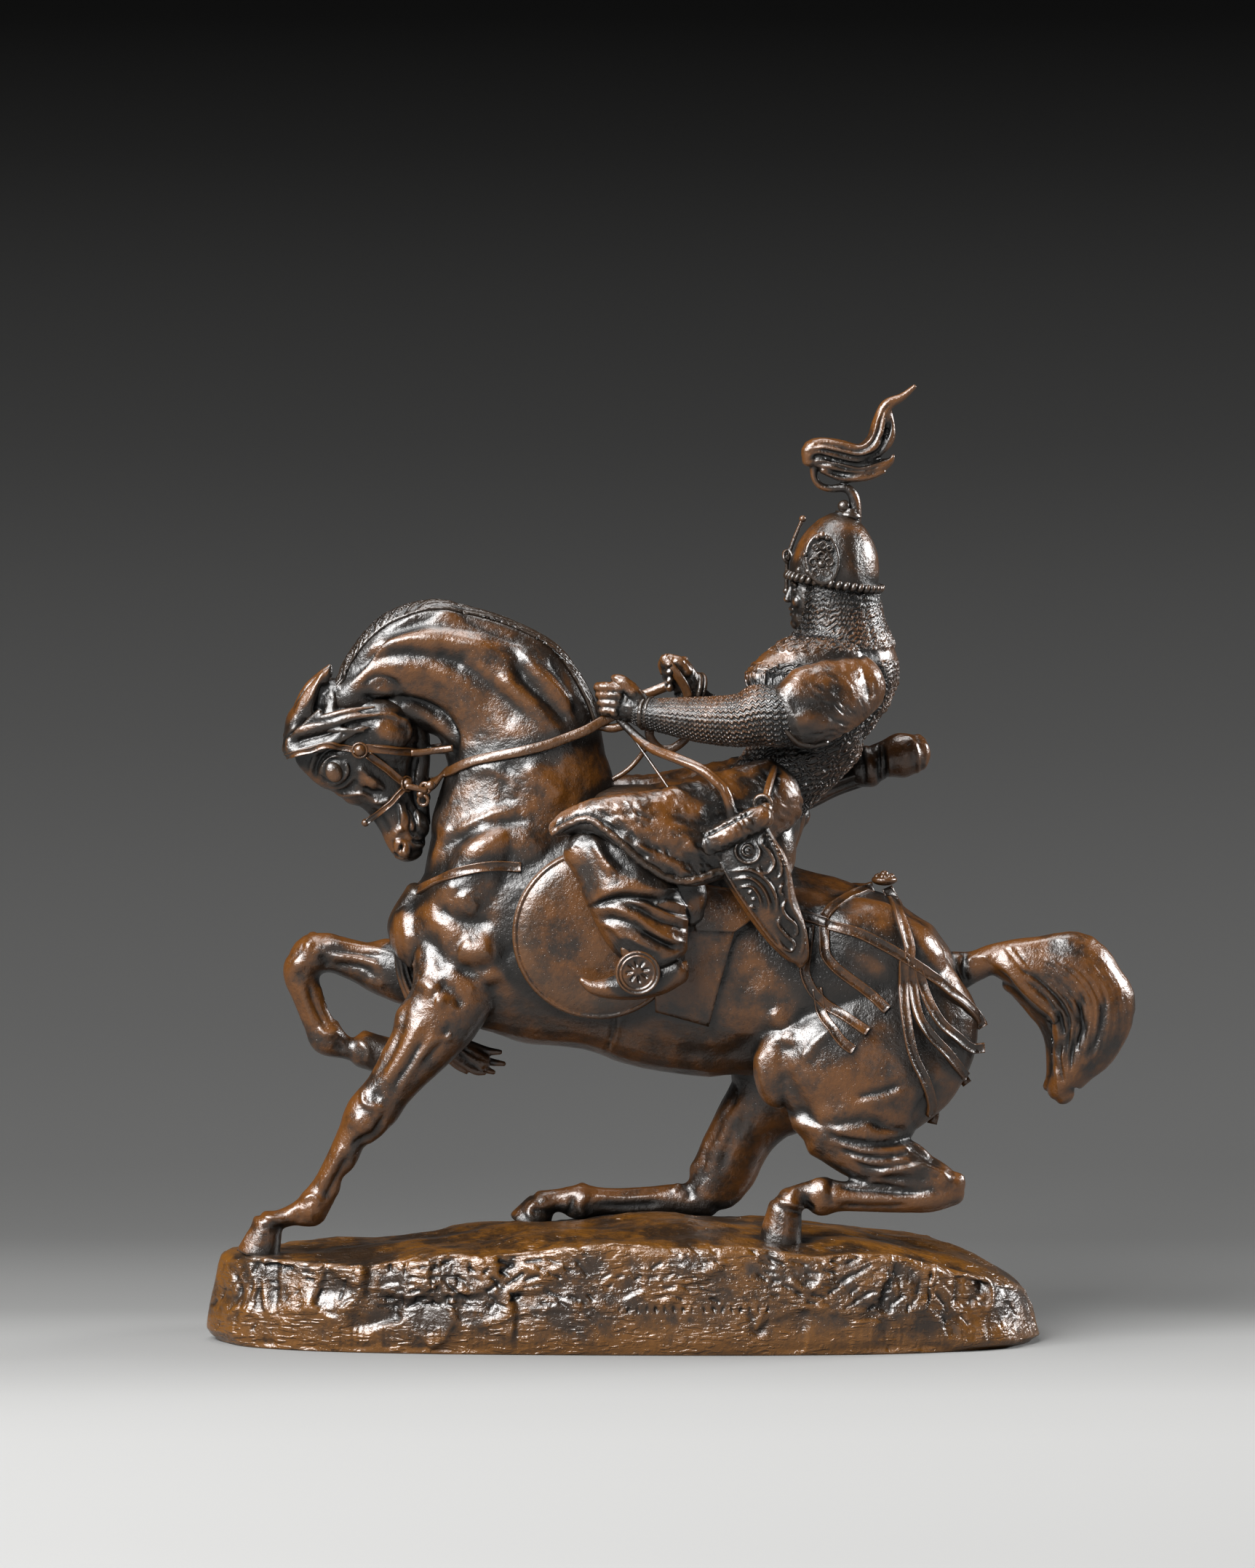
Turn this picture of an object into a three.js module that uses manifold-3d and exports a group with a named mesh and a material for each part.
// Equestrian statuette: a mounted warrior leaning back to rein in a horse that sinks on its hind legs.
// The horse, the rider and all their gear are one bronze casting, which stands on a cast rocky ground.
// Millimetres. +X runs from the horse's head to its tail, +Y to the far side, +Z up.
// The origin is on the flat underside of the ground, in the middle of its length.
import * as THREE from 'three';
import { mergeVertices } from 'three/addons/utils/BufferGeometryUtils.js';
import Module from 'manifold-3d';

const wasm = await Module();
wasm.setup();

// Driving sizes
const groundLength = 319;
const groundDepth = 106;
const groundCrest = 46; // top of the ground under the middle of the horse
const figureHeight = 323; // from that crest to the tip of the plume
const seatGap = 0.3; // between the casting and the ground it stands on
const reinWidth = 4.2;
const reinThickness = 1.6;
const stringRadius = 0.6;
const strapWidth = 3.8;
const strapThickness = 2.8;
const strapSink = 0.2; // share of the thickness that lies below the hide
const flapRadius = 33; // round leather flap between the rider's leg and the horse
const flapRim = 3;
const flapRelief = 1; // height of the flap's rim over its field
const stirrupRadius = 8.5;
const stirrupThickness = 3;
const flapThickness = 8; // from inside the ribs to the flap's rim
const blanketInside = 24; // the blanket's depth in y, from inside the ribs to its face
const blanketOutside = 36;

// The figure's pose and proportions are written for these two heights, and follow figureHeight.
const poseHeight = 323;
const poseCrest = 46;
const k = figureHeight / poseHeight;
const at = (x, y, z) => new THREE.Vector3(x * k, y * k, groundCrest + (z - poseCrest) * k);
const sideways = new THREE.Vector3(0, 1, 0);
const bothSides = (make) => [-1, 1].flatMap((side) => make(side));
const farOutside = groundDepth * 2; // clear of the horse, where rays towards it start

// Closed solids

function solid(geometry) {
  geometry.deleteAttribute('normal');
  geometry.deleteAttribute('uv');
  const merged = mergeVertices(geometry, 1e-4);
  const position = merged.attributes.position;
  const index = Uint32Array.from(merged.index.array);
  const [a, b, c] = [new THREE.Vector3(), new THREE.Vector3(), new THREE.Vector3()];
  let volume = 0;
  for (let i = 0; i < index.length; i += 3) {
    a.fromBufferAttribute(position, index[i]);
    b.fromBufferAttribute(position, index[i + 1]);
    c.fromBufferAttribute(position, index[i + 2]);
    volume += a.dot(b.cross(c));
  }
  const triVerts = volume < 0 ? index.reverse() : index;
  const vertProperties = Float32Array.from(position.array);
  return new wasm.Manifold(new wasm.Mesh({ numProp: 3, vertProperties, triVerts }));
}

const fuse = (solids) => solids.reduce((all, one) => all.add(one));

function toGeometry(manifold) {
  const mesh = manifold.getMesh();
  const geometry = new THREE.BufferGeometry();
  geometry.setAttribute('position', new THREE.BufferAttribute(mesh.vertProperties, 3));
  geometry.setIndex(new THREE.BufferAttribute(mesh.triVerts, 1));
  return geometry;
}

// A capsule bent along a spine. A station is [x, y, z, half size across the spine in side view,
// half size in y].
function limb(stations, { sides = 8, round = 1, caps = [0.8, 0.8], relief = null } = {}) {
  const spine = new THREE.CatmullRomCurve3(stations.map(([x, y, z]) => at(x, y, z)));
  const geometry = new THREE.CapsuleGeometry(1, 1, round, sides, stations.length - 1);
  const position = geometry.attributes.position;
  for (let i = 0; i < position.count; i += 1) {
    const [px, py, pz] = [position.getX(i), position.getY(i), position.getZ(i)];
    const t = THREE.MathUtils.clamp(py + 0.5, 0, 1);
    const beyond = Math.max(Math.abs(py) - 0.5, 0) * Math.sign(py);
    const tangent = spine.getTangent(t);
    const side = sideways.clone().addScaledVector(tangent, -tangent.y).normalize();
    const up = side.clone().cross(tangent);
    const [, , , tall, wide] = stations[Math.round(t * (stations.length - 1))];
    const swell = k * (relief ? relief(Math.atan2(pz, px), t) : 1);
    const cap = k * Math.min(tall, wide) * caps[py < 0 ? 0 : 1] * beyond;
    const point = spine.getPoint(t)
      .addScaledVector(up, tall * px * swell)
      .addScaledVector(side, wide * pz * swell)
      .addScaledVector(tangent, cap);
    position.setXYZ(i, point.x, point.y, point.z);
  }
  return solid(geometry);
}

// An ellipsoid, turned in side view by some degrees.
function blob([x, y, z], [rx, ry, rz], turn = 0, sides = 7) {
  const geometry = new THREE.SphereGeometry(1, sides, Math.round(sides * 0.6));
  geometry.scale(rx * k, ry * k, rz * k);
  geometry.rotateY(THREE.MathUtils.degToRad(-turn));
  geometry.translate(...at(x, y, z).toArray());
  return solid(geometry);
}

// A turned piece, with its profile of [radius, height] along an axis that starts upright at a point.
function turned([x, y, z], profile, { lean = 0, roll = 0, sides = 12, flatten = 1 } = {}) {
  const outline = profile.map(([r, h]) => new THREE.Vector2(r * k, h * k));
  const geometry = new THREE.LatheGeometry(outline, sides);
  geometry.rotateX(Math.PI / 2);
  geometry.scale(1, flatten, 1);
  geometry.rotateX(THREE.MathUtils.degToRad(roll));
  geometry.rotateY(THREE.MathUtils.degToRad(lean));
  geometry.translate(...at(x, y, z).toArray());
  return solid(geometry);
}

// A flat strap along a route, lying square to the normals given for its points.
function ribbon(points, normals, width, thickness) {
  const spine = new THREE.CatmullRomCurve3(points);
  const lean = new THREE.CatmullRomCurve3(normals);
  const geometry = new THREE.BoxGeometry(1, 1, 1, points.length - 1, 1, 1);
  const position = geometry.attributes.position;
  for (let i = 0; i < position.count; i += 1) {
    const t = THREE.MathUtils.clamp(position.getX(i) + 0.5, 0, 1);
    const tangent = spine.getTangent(t);
    const normal = lean.getPoint(t);
    normal.addScaledVector(tangent, -normal.dot(tangent)).normalize();
    const flat = normal.clone().cross(tangent);
    const point = spine.getPoint(t)
      .addScaledVector(flat, width * k * position.getY(i))
      .addScaledVector(normal, thickness * k * position.getZ(i));
    position.setXYZ(i, point.x, point.y, point.z);
  }
  return solid(geometry);
}

// Lays route points, each [x, z], on one side of a mesh, and returns them with the surface's normals.
function layOn(mesh, route, side, lift) {
  const caster = new THREE.Raycaster();
  const points = [];
  const normals = [];
  for (const [x, z] of route) {
    caster.set(at(x, side * farOutside, z), new THREE.Vector3(0, -side, 0));
    const [hit] = caster.intersectObject(mesh);
    const normal = hit ? hit.face.normal.clone() : new THREE.Vector3(0, side, 0);
    const point = hit ? hit.point.clone() : at(x, side * 3, z);
    points.push(point.addScaledVector(normal, lift));
    normals.push(normal);
  }
  return { points, normals };
}

// Ground: rings from the middle of the top, over the broken edge and down to the flat underside

const groundPlan = new THREE.CatmullRomCurve3([
  [-0.5, -0.02], [-0.49, -0.16], [-0.45, -0.3], [-0.35, -0.41], [-0.2, -0.47], [0, -0.5], [0.2, -0.5],
  [0.35, -0.45], [0.45, -0.33], [0.495, -0.15], [0.495, 0.05], [0.47, 0.24], [0.38, 0.4], [0.2, 0.48],
  [0, 0.5], [-0.2, 0.47], [-0.36, 0.38], [-0.46, 0.22],
].map(([x, y]) => new THREE.Vector3(x * groundLength, y * groundDepth, 0)), true);

// Shares of the crest's height along the length, in even steps from the left end to the right end.
const groundRise = new THREE.CatmullRomCurve3(
  [0.74, 0.79, 0.81, 0.9, 0.96, 1, 1, 0.95, 0.9, 0.74, 0.4]
    .map((share, i, shares) => new THREE.Vector3(i / (shares.length - 1), share, 0)),
);

// The top falls a little to its edges, and is rippled along and across.
const edgeFall = 0.07;
const broadRipple = 0.018;
const closeRipple = 0.012;

function groundTop(x, y) {
  const along = THREE.MathUtils.clamp(x / groundLength + 0.5, 0, 1);
  const sag = edgeFall * (2 * y / groundDepth) ** 2;
  const ripple = broadRipple * Math.sin(x * 0.11 + y * 0.07) + closeRipple * Math.sin(y * 0.23 - x * 0.05);
  return groundCrest * (groundRise.getPoint(along).y - sag + ripple);
}

// Each ring is its reach from the middle and its share of the ground's height there.
const groundRings = [
  [0, 1], [0.5, 1], [0.96, 0.96], [0.98, 0.7], [0.985, 0.42], [1, 0.16], [0.99, 0], [0, 0],
];

// How strongly the broken edge is chipped in plan and dented in height.
const chipDepth = 0.014;
const dentDepth = 0.07;
const groundSides = 32;

function ground(grow = 0) {
  const outline = groundRings.map(([reach], ring) => new THREE.Vector2(reach, ring));
  const geometry = new THREE.LatheGeometry(outline, groundSides);
  const position = geometry.attributes.position;
  for (let i = 0; i < position.count; i += 1) {
    const ring = Math.round(position.getY(i));
    const [reach, share] = groundRings[ring];
    const turn = Math.atan2(position.getX(i), position.getZ(i)) / (2 * Math.PI);
    const edge = groundPlan.getPointAt((turn + 1) % 1);
    const broken = share > 0 && reach > 0.9;
    const chip = broken ? chipDepth * Math.sin(edge.x * 0.19 + ring * 2.1) : 0;
    const dent = broken && share < 0.9 ? dentDepth * Math.sin(edge.x * 0.16 + ring * 1.7) : 0;
    const point = edge.multiplyScalar(reach * (1 + chip));
    const height = share > 0 ? groundTop(point.x, point.y) * share * (1 + dent) + grow : -grow;
    position.setXYZ(i, point.x, point.y, height);
  }
  return solid(geometry);
}

// Horse

const trunk = () => limb([
  [-80, 0, 157, 14, 15], [-69, 0, 158, 31, 25], [-46, 0, 159, 44, 27], [-12, 0, 159, 47.5, 30],
  [22, 0, 153, 49.5, 32], [54, 0, 143, 42, 32], [82, 0, 140, 38.5, 32],
  [103, 0, 135, 38, 29], [117, 0, 129, 32, 23], [128, 0, 126, 22, 15], [134, 0, 124, 13, 9],
], { sides: 11 });

const neck = () => limb([
  [-44, 0, 164, 38, 26], [-40, 0, 188, 37, 23], [-37, 0, 210, 34, 19.5], [-35.5, 0, 226, 30.5, 17.5],
  [-37.5, 0, 240, 28.5, 16], [-44.5, 0, 252, 27, 14.5], [-57.5, 0, 262, 23, 13], [-73, 0, 266.5, 20.5, 11.8],
  [-88, 0, 265, 18.5, 10.8], [-99, 0, 257, 14.5, 9.8], [-106, 0, 247, 10, 9],
], { sides: 9 });

// The fold of the throat, drawn together behind the jaw.
const throat = () => limb([[-88, 0, 245, 7, 7], [-74, 0, 241, 5.5, 6], [-62, 0, 231, 5, 7]], { sides: 6 });

const head = () => [
  limb([
    [-108, 0, 249, 11, 8], [-105.5, 0, 237, 23, 11], [-101, 0, 226, 22.5, 11], [-96.5, 0, 215, 16.5, 8.5],
    [-92, 0, 206.5, 11.5, 7], [-88, 0, 198.5, 8.8, 6.6], [-84, 0, 191, 7.8, 6.4], [-83, 0, 188, 5.5, 4.5],
  ], { sides: 9 }),
  blob([-79, 0, 199], [4, 4.5, 5.5], -20, 6), // lower lip
  ...bothSides((side) => [
    blob([-92, side * 6.5, 236.5], [12.5, 7.5, 13]), // cheek
    blob([-110, side * 9, 222], [7, 3.4, 4.6], -35, 5), // brow and eye
    blob([-86, side * 6, 189.5], [3.8, 2.6, 3.2], 30, 5), // nostril
    limb([
      [-124, side * 6, 240.5, 5, 3.6], [-121, side * 7, 248.5, 4.6, 3.2], [-113.5, side * 7, 259.5, 1, 1],
    ], { sides: 5 }), // ear
  ]),
];

const forelock = () => [
  limb([[-118, 0, 247, 5, 7], [-128, 0, 237, 4.5, 7.5], [-129, -2, 228, 3.6, 6]], { sides: 6 }),
  limb([[-127, -4, 234, 4, 4], [-116, -11, 235, 4, 2.6], [-94, -13, 243, 2, 1.4]], { sides: 4 }),
];

// A hoof widens from the coronet down to its toe, where the ground trims it.
function hoof([x, y, z], [toeX, toeZ], radius) {
  return limb([
    [x, y, z, radius * 0.8, radius * 0.86], [toeX, y, toeZ, radius * 1.12, radius * 1.05],
  ], { sides: 7, caps: [0.3, 0.05] });
}

const nearForeleg = () => [
  limb([
    [-62, -13, 147, 19, 12], [-67, -17, 132.5, 16, 12], [-75, -19, 119.5, 13.5, 10.5], [-83, -20, 109, 11, 9],
    [-91, -20, 98, 9.2, 7.8], [-98, -20, 88, 10, 8.4], [-104, -20, 78, 7.6, 6.8], [-110, -20, 69, 5.8, 5.2],
    [-115, -19, 60, 5.7, 5], [-120, -19, 52.5, 7.2, 6], [-128, -19, 50, 4.3, 4.6], [-136, -19, 48.5, 5.4, 6],
  ], { sides: 7 }),
  hoof([-137.5, -19, 47.5], [-141, 34], 7.6),
];

const farForeleg = () => [
  limb([
    [-62, 13, 145, 19, 12], [-78, 16, 140.5, 15, 11], [-92, 17, 141.5, 11.5, 9.5], [-104, 18, 145, 8.8, 8.2],
    [-114, 18, 147.5, 8, 7.6], [-122.5, 18, 146, 9, 7.8], [-125, 18, 138.5, 7.2, 6.6],
    [-122.5, 18, 129.5, 5.7, 5.2], [-119, 18, 120.5, 5.7, 5], [-115, 18, 114, 7, 6],
    [-107, 18, 110, 4.3, 4.6], [-101, 18, 109.5, 6.6, 6.6],
  ], { sides: 7 }),
  limb([[-101, 18, 109.5, 7.2, 7], [-94, 18, 107.5, 7.4, 7.6], [-87, 18, 105, 8.2, 8]], {
    sides: 7, caps: [0.3, 0.05],
  }),
];

const nearHindLeg = () => [
  limb([
    [99, -9, 153, 33, 17], [95, -14, 127, 42, 19], [92, -18, 107.5, 40, 20], [89.5, -21, 95, 34, 18],
    [87, -24, 84, 24.5, 15],
  ], { sides: 10 }),
  limb([
    [84, -24, 86, 18, 14], [94, -27, 75.5, 13, 11], [107, -29, 69.5, 10, 8.5],
    [119, -30, 65.5, 8.5, 7], [126, -30, 62.5, 6.5, 5.6],
  ], { sides: 7 }),
  limb([
    [126, -30, 60.5, 5.5, 5.2], [117, -31, 58.5, 6, 6], [103, -31, 58, 5.6, 5.2], [90, -31, 58.5, 6, 4.8],
    [82, -31, 58.5, 6, 5], [75.5, -31, 58.5, 7.6, 6], [69, -31, 59, 5, 4.8], [63, -31, 56.5, 5.6, 6],
  ], { sides: 7 }),
  hoof([61.5, -31, 55.5], [59.5, 40], 7.8),
];

const farHindLeg = () => [
  limb([
    [92, 10, 145, 36, 18], [78, 15, 118.5, 33, 18], [64, 18, 100.5, 24, 16], [52, 21, 86, 17.5, 13],
    [43, 23, 73, 14, 10.5], [36.5, 24, 62, 13.2, 8.6], [33, 24, 53, 10.5, 7.6],
  ], { sides: 9 }),
  limb([
    [32, 24, 50, 6.5, 6.5], [20, 24, 50, 6.4, 5.6], [6, 24, 49.5, 5.6, 4.8], [-8, 24, 49.5, 5.6, 4.7],
    [-18, 24, 49.5, 7, 5.8], [-26, 24, 50, 4.4, 4.6], [-32, 24, 48.5, 5.4, 6],
  ], { sides: 7 }),
  hoof([-33, 24, 48], [-37.5, 40], 7.6),
];

// Wavy hair in locks that gather again at the tip.
const tail = () => limb([
  [128, 0, 142, 8, 7], [135, 0, 144, 6, 6], [142, 0, 146, 6, 6.4], [152, 0, 144.5, 10, 8.5],
  [163, 0, 141, 15.5, 10], [173, 0, 137, 18.5, 11], [179.5, 0, 127, 18, 11], [178, 0, 115, 15.5, 10],
  [172.5, 0, 104, 10, 8], [168.5, 0, 97, 6.5, 6], [168, 0, 93, 4.5, 4.5],
], {
  sides: 11,
  relief: (turn, t) => 1 + 0.08 * Math.sin(turn * 4) * THREE.MathUtils.smoothstep(t, 0.3, 0.6),
});

// Tack

const saddle = () => [
  limb([[-8, 0, 203, 11, 22], [12, 0, 201, 13, 26], [34, 0, 195, 14, 26], [54, 0, 190, 13, 22]], { sides: 7 }),
  limb([[56, 0, 188, 6, 17], [60, 0, 196, 7, 17], [62, 0, 204, 6, 14]]), // cantle
];

// The round flap lies on the ribs, with a raised rim round its field.
function flap(side) {
  const field = flapThickness - flapRelief;
  const inner = flapRadius - flapRim;
  const profile = [
    [0, 0], [flapRadius, 0], [flapRadius, flapThickness], [inner, flapThickness], [inner, field], [0, field],
  ];
  return turned([-10, side * 26.5, 159.5], profile, { roll: side * -90, sides: 14 });
}

// The lower corner of the saddle blanket, behind the rider's leg.
function blanket(side) {
  const corners = [[12, 182], [44, 168], [48, 161], [39, 142], [33, 122], [14, 127]];
  const shape = new THREE.Shape(corners.map(([x, z]) => {
    const corner = at(x, 0, z);
    return new THREE.Vector2(corner.x, corner.z);
  }));
  const depth = (blanketOutside - blanketInside) * k;
  const geometry = new THREE.ExtrudeGeometry(shape, { depth, bevelEnabled: false });
  geometry.rotateX(Math.PI / 2);
  geometry.translate(0, (side < 0 ? -blanketInside : blanketOutside) * k, 0);
  return solid(geometry);
}

// Straps as [x, z] routes laid on the horse: the breast strap and the crupper on both sides,
// and the crupper's loose ends on the near side.
const mainStraps = [
  [[-40, 182.5], [-58, 181], [-76, 171]],
  [[69, 163], [88, 158], [107, 148.5], [129, 131], [134, 124]],
];
const looseStraps = [
  [[101, 172.5], [107.5, 152]],
  [[108, 148], [109, 128], [118, 92]],
  [[110.5, 147], [129, 104]],
  [[71, 160], [70, 141], [92, 120.5]],
  [[79, 159], [82, 145], [101, 128.5]],
];

const laidStraps = (mesh) => bothSides((side) => {
  const routes = side < 0 ? [...mainStraps, ...looseStraps] : mainStraps;
  return routes.map((route) => {
    const { points, normals } = layOn(mesh, route, side, strapThickness * (0.5 - strapSink));
    return ribbon(points, normals, strapWidth, strapThickness);
  });
});

// Breast ornament with its long horsehair tassel, which swings back between the forelegs.
const tassel = () => [
  limb([[-80, 0, 172, 5, 8], [-87, 1, 160, 3, 4.5], [-85.5, 2, 150, 3, 3.4]], { sides: 6 }),
  limb([
    [-85.5, 2, 152, 3.2, 3.2], [-83, 3, 138, 3.4, 3.2], [-74, 3, 121, 4.5, 4],
    [-62, 2, 111, 5, 4.5], [-50, 1, 105.5, 4.6, 4],
  ], { sides: 7 }),
];

const crestKnot = () => blob([100, 0, 177], [4.6, 4, 3.2], 0, 6);

// The bridle: throat straps and bosses, and on the near side the cheek strap and the nose strap too.
const bridle = () => [
  ...bothSides((side) => [
    limb([[-103, side * 12, 228.5, 1.8, 2], [-80, side * 8.5, 227, 1.8, 3]], { sides: 4 }),
    blob([-102.5, side * 12.6, 228.5], [2.8, 2.2, 2.8], 0, 5),
  ]),
  limb([[-117, -9.5, 232, 1.8, 1.8], [-102, -12, 227.5, 1.7, 2], [-85, -8, 215, 1.7, 2]], { sides: 4 }),
  limb([[-76, -7.5, 212.5, 1.8, 1.8], [-84, -8, 214.5, 1.7, 2], [-100, -6.6, 200, 1.4, 1.8]], { sides: 4 }),
];

const reinRoute = [[-66, 219], [-46, 226.5], [-24, 232]];

function rein(mesh, side) {
  const { points, normals } = layOn(mesh, reinRoute, side, 0);
  const outward = new THREE.Vector3(0, side, 0);
  const hand = side < 0 ? [at(-14, -16, 236), at(-5, -12, 240)] : [at(-2, 16, 242), at(17, 13, 250)];
  const route = [at(-77.5, side * 7.5, 212.5), ...points, ...hand];
  return ribbon(route, [outward, ...normals, outward, outward], reinWidth, reinThickness);
}

// Rider

const torso = () => limb([
  [47, 0, 202, 17, 20], [57, 1, 214, 16.5, 17.5], [69, 2, 229, 19, 20], [78, 2, 244, 23, 25],
  [82, 1, 257, 21.5, 26], [83, 0, 267, 19.5, 20], [82.5, 0, 277, 17, 15.5], [81.5, 0, 290, 15.5, 14],
], { sides: 11 });

const sleeves = () => [
  limb([[88, -16, 257.5, 14, 12], [75, -27, 251.5, 17, 10.5], [65, -31, 244.5, 14.5, 10]], {
    sides: 7, caps: [1, 0.3],
  }),
  limb([[86, 16, 254.5, 14, 12], [73, 26, 247.5, 15, 10], [63, 29, 241.5, 13, 9.5]], {
    sides: 7, caps: [1, 0.3],
  }),
];

const arms = () => [
  limb([
    [76, -27, 248.5, 12, 10], [62, -31, 242.5, 10.8, 9.6], [46, -28, 241.5, 9.6, 9],
    [28, -21, 241.5, 8.2, 7.8], [3, -12, 243, 5.6, 6],
  ], { sides: 7 }),
  limb([
    [74, 26, 245.5, 12, 10], [60, 29, 240.5, 10, 9], [46, 25, 242.5, 8.8, 8.2], [24, 15.5, 250.5, 5.6, 6],
  ], { sides: 7 }),
];

// A closed hand in a mail glove: its back, the thumb and a row of bent fingers.
const fist = ([x, y, z], side, reach) => [
  blob([x, y, z], [8, 7, 7.6], -20, 6),
  limb([[x + 4, y + side * 3, z + 4, 3, 2.6], [x - reach * 2, y + side * 3, z + 8.5, 2.2, 2]], { sides: 4 }),
  limb([[x - reach * 5, y - 5, z + 3, 5, 3.4], [x - reach * 6, y + 5, z + 1, 5, 3.4]], { sides: 5 }),
];

const hands = () => [...fist([-3, -10, 247], -1, 1), ...fist([21, 14, 254], 1, 0.7)];

const rosette = (side) => turned(
  [76, side * 13.4, 302],
  [[0, 0], [6.6, 0], [6, 3.2], [0, 4]],
  { roll: side * -84, sides: 7, flatten: 1.35 },
);

const helmet = () => [
  turned(
    [80.2, 0, 288],
    [[0, 0], [18.4, 0], [19.2, 2], [18, 4.4], [18.2, 9], [17, 15], [13.6, 22], [9, 27.5], [4, 31.5], [0, 32]],
    { lean: 7, sides: 12, flatten: 0.88 },
  ),
  rosette(-1),
  rosette(1),
  // nasal bar
  limb([[70, 2, 316, 1.4, 1.4], [63.4, 3, 306, 1.2, 1.8], [62, 3, 289, 1.4, 1.8]], { sides: 4 }),
];

const face = () => blob([69, 2, 286], [6, 7, 10]);

// The plume's stem, and its hair in locks that are blown back.
const plume = () => [
  limb([
    [88, 0, 314, 2.6, 2.6], [88.5, 0, 323, 2.3, 2.3], [86, 0, 328.5, 1.9, 1.9],
    [79, 0, 328.2, 1.6, 1.6], [73, 0, 329.5, 1.5, 1.5], [72.5, 0, 339, 1.8, 1.8],
  ], { sides: 5 }),
  limb([
    [71, 0, 338, 3, 3.2], [73, 0, 343.5, 4.6, 4.2], [81, 0, 343, 4.4, 4.6], [90, 0, 341.5, 4, 4.4],
    [96, 0, 346, 4, 3.6], [98.5, 0, 354, 3.6, 3], [101, 0, 361, 2.6, 2.2], [107, 0, 364.2, 1.7, 1.6],
    [111.6, 0, 368, 1, 1],
  ], { sides: 5 }),
  limb([
    [72, 0, 338, 3, 3], [80, 0, 336.5, 4, 4.2], [89, 0, 334, 4.4, 4.4], [96, 0, 336, 4, 3.6],
    [102, 0, 338, 1.2, 1.4],
  ], { sides: 5 }),
  limb([
    [94, 0.8, 341, 4, 2.6], [101.5, 1, 347, 2.6, 2], [102.5, 1, 354, 1.6, 1.4], [102, 1, 360, 1, 1],
  ], { sides: 4 }),
];

// One leg: full trousers under the coat's skirt with its fur hem, then the boot and the stirrup.
const leg = (side) => [
  limb([
    [-16, side * 36, 193, 9, 8.5], [-6, side * 38, 185.5, 14, 10.5], [3, side * 39, 173.5, 17, 10.5],
    [9, side * 40, 161.5, 15.5, 9.5], [12, side * 41, 152.5, 11, 7.5],
  ]),
  limb([
    [52, side * 16, 206, 17, 16], [36, side * 24, 200, 19, 15], [18, side * 34, 198, 17, 13],
    [0, side * 38, 203, 11, 10], [-16, side * 39, 204.5, 6, 6], [-26, side * 36, 200, 4, 4],
  ], { sides: 7 }),
  limb([
    [-28, side * 35, 199, 2.2, 3], [-13, side * 44, 203.5, 2.2, 3], [6, side * 46.5, 192, 2.2, 3],
    [22, side * 43.5, 182, 2.2, 3.4], [38, side * 38, 183.5, 2.2, 3.4],
  ], { sides: 4 }),
  limb([
    [18, side * 42, 149.5, 5, 6], [6, side * 42, 144.5, 6, 6.4], [-7, side * 43, 141, 4.2, 5],
    [-16, side * 43, 143, 1.4, 2],
  ], { sides: 5 }),
  limb([[-2, side * 43, 141.5, 1.6, 7], [20, side * 43, 147.5, 1.6, 7]], { sides: 4 }),
  turned(
    [5, side * 45, 147],
    [[0, 0], [stirrupRadius, 0], [stirrupRadius, stirrupThickness], [0, stirrupThickness + 1]],
    { roll: side * -90, sides: 11 },
  ),
];

// The bow case on the near hip: its body, its padded collar, the bow standing out of it, and its hook.
const bowCase = () => [
  limb([
    [45, -41, 197.5, 11.5, 4.4], [51, -42, 186.5, 11.2, 4.4], [56, -41, 174.5, 9, 4.2],
    [62, -39, 162.5, 7, 3.8], [66.6, -37.5, 153.5, 3.8, 3], [67.2, -37, 148.5, 1.4, 1.6],
  ], { sides: 7 }),
  limb([[31.5, -41.5, 195, 5, 5.4], [42.5, -42.5, 200.5, 5.4, 6.2], [53.5, -41.5, 206, 5, 5.4]]),
  limb([
    [41.5, -42, 203.5, 2, 2], [38.5, -43, 215, 1.9, 2.2], [31, -41, 222.5, 2, 2.4], [20, -34, 227, 2, 2.4],
    [9, -23, 231, 1.9, 2.2], [-2, -11, 240, 1.6, 1.6],
  ], { sides: 5 }),
  limb([[57, -20, 221, 2, 2], [54.5, -33, 215, 2, 2], [53.5, -39, 208.5, 3.4, 2.4]], { sides: 5 }),
];

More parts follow.
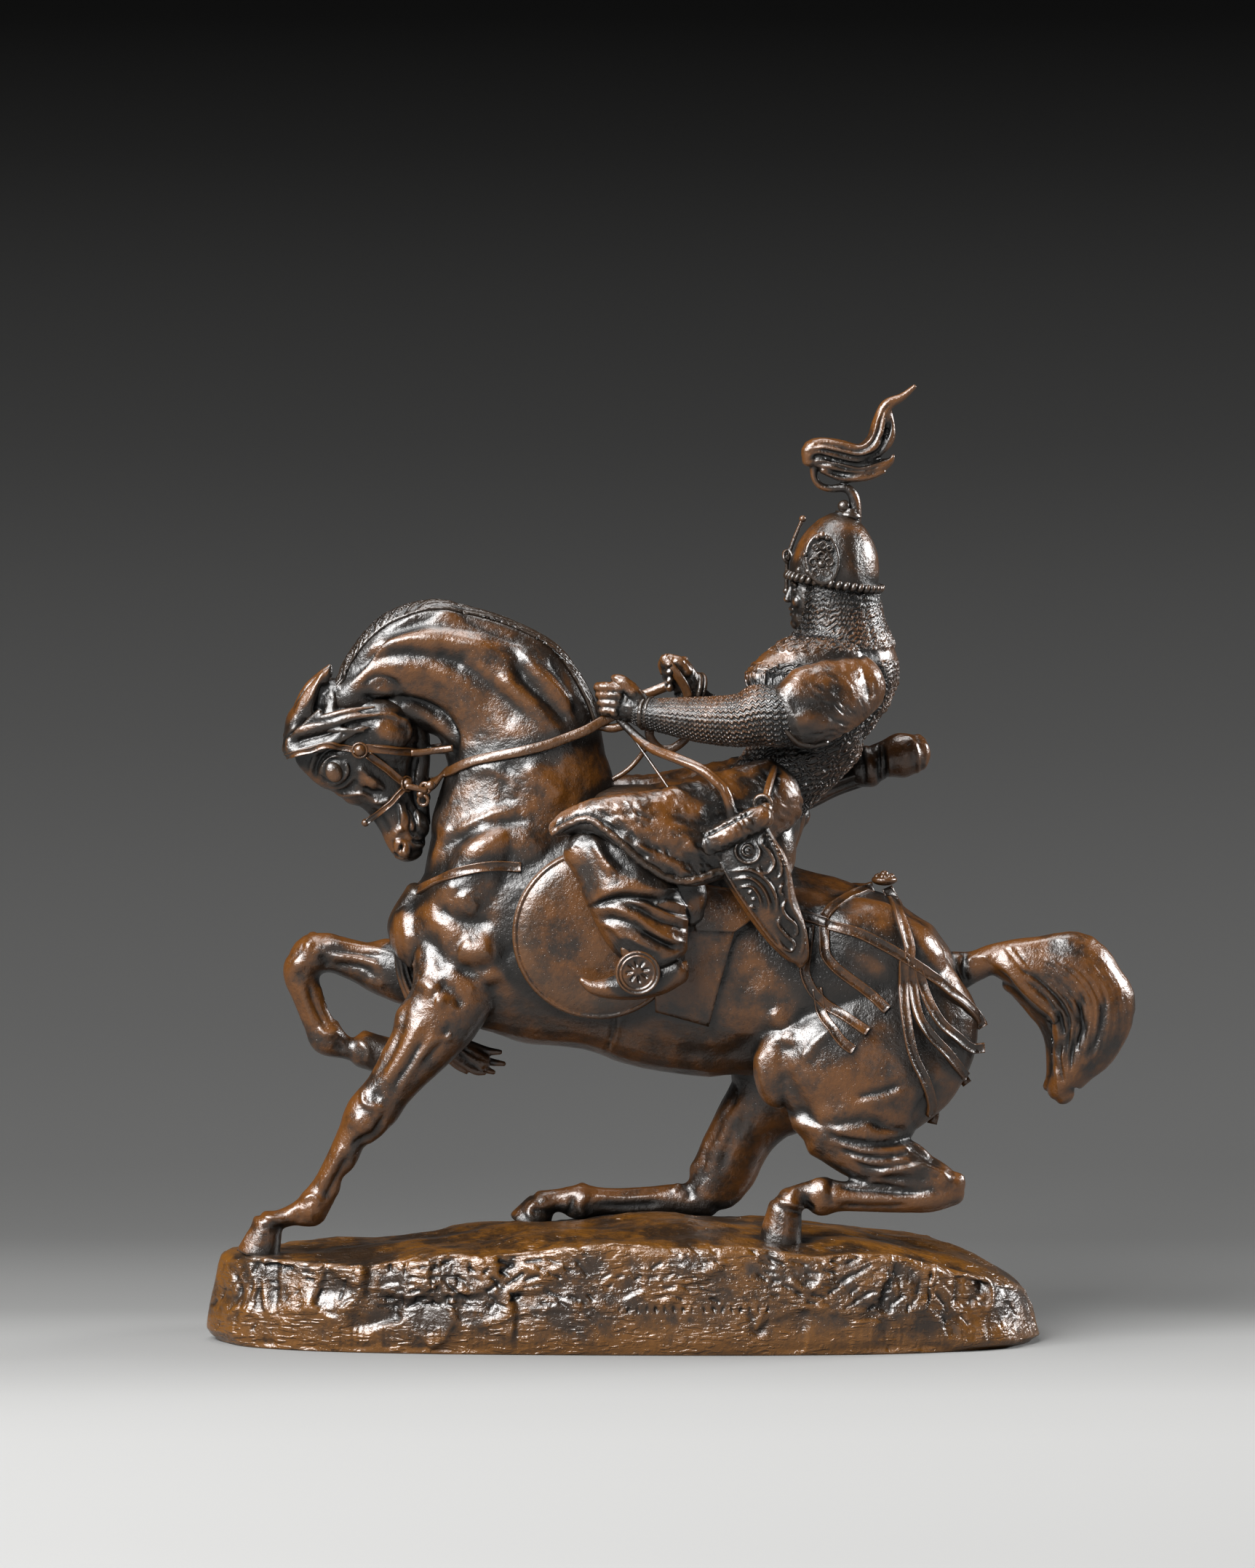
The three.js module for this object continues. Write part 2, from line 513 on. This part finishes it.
function bowstring() {
  const line = new THREE.LineCurve3(at(32, -43, 193), at(0, -12.5, 238));
  const section = new THREE.Shape().absarc(0, 0, stringRadius * k, 0, Math.PI * 2);
  return solid(new THREE.ExtrudeGeometry(section, {
    steps: 1, extrudePath: line, curveSegments: 3, bevelEnabled: false,
  }));
}

// The quiver on the far hip: a tapered case, a fluted bundle of shafts and its bound head.
const quiver = () => [
  limb([[64, 28, 202.5, 9, 7], [46, 40, 176.5, 8, 6], [36, 42, 154.5, 5.5, 4.5]], { sides: 7 }),
  limb([[58, 28, 202.5, 5, 5], [75, 26, 213.5, 4.8, 4.8], [92, 24, 219.5, 4.8, 4.8]], {
    relief: (turn) => 1 + 0.08 * Math.cos(turn * 4),
  }),
  limb([[90, 24, 220, 7.4, 7.4], [98, 24, 221, 6.6, 6.6]], { caps: [0.15, 0.15] }),
  limb([
    [97, 24, 221.5, 5.6, 5.6], [101, 24, 222, 6.4, 6.4], [107, 24, 223.5, 8.2, 8], [114, 24, 224.5, 6.6, 6.6],
  ], { caps: [0.2, 0.2] }),
];

// The whole model

const horse = fuse([
  trunk(), neck(), throat(), ...head(), ...forelock(), ...nearForeleg(), ...farForeleg(),
  ...nearHindLeg(), ...farHindLeg(), tail(),
]);
const horseMesh = new THREE.Mesh(toGeometry(horse));
const tack = [
  ...laidStraps(horseMesh), ...saddle(), ...bridle(), ...tassel(), crestKnot(),
  ...bothSides((side) => [flap(side), blanket(side), rein(horseMesh, side)]),
];
const rider = [
  torso(), ...sleeves(), ...arms(), ...hands(), ...helmet(), face(), ...plume(), ...bothSides(leg),
  ...bowCase(), bowstring(), ...quiver(),
];
const casting = fuse([horse, ...tack, ...rider]).subtract(ground(seatGap));

const patinated = { roughness: 0.34, metalness: 0.85 };
const group = new THREE.Group();
for (const [name, piece, color] of [['ground', ground(), 0x55351c], ['horse_and_rider', casting, 0x4a2a16]]) {
  const mesh = new THREE.Mesh(toGeometry(piece), new THREE.MeshStandardMaterial({ color, ...patinated }));
  mesh.name = name;
  group.add(mesh);
}

export default group;
